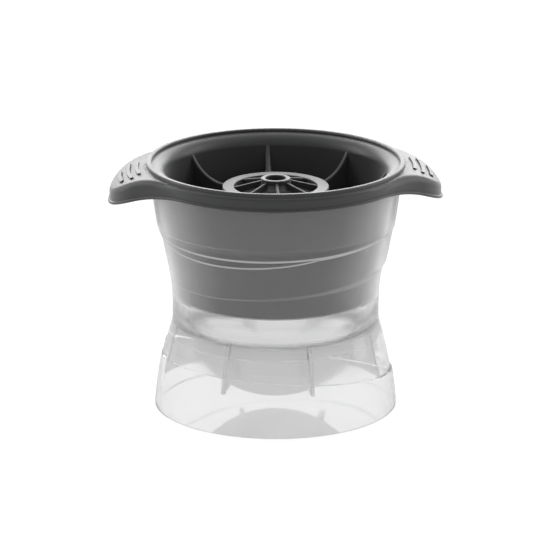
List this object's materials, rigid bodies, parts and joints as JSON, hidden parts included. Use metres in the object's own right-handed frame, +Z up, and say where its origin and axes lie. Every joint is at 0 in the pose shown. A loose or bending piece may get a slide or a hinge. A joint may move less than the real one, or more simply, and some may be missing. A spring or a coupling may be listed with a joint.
{
  "type": "ice ball mould",
  "caption": "Clear waisted base holding a ball-shaped bowl, closed by a soft dark lid with drooping grips, an open ribbed funnel and a central filling hole.",
  "frame": {"origin": "on the table under the middle of the foot", "axes": "+Z up, the two grips along X"},
  "size_m": [0.1146, 0.0916, 0.0864],
  "materials": {
    "soft_silicone": "smooth satin charcoal silicone",
    "clear_plastic": "clear, slightly frosted moulded plastic"
  },
  "bodies": {
    "base": {"clear_base": "clear_plastic"},
    "lid": {"silicone_lid": "soft_silicone"}
  },
  "joints": [
    {"name": "lid_lift", "type": "slide", "parent": "base", "child": "lid", "axis": [0, 0, 1], "range_m": [0, 0.055]}
  ]
}
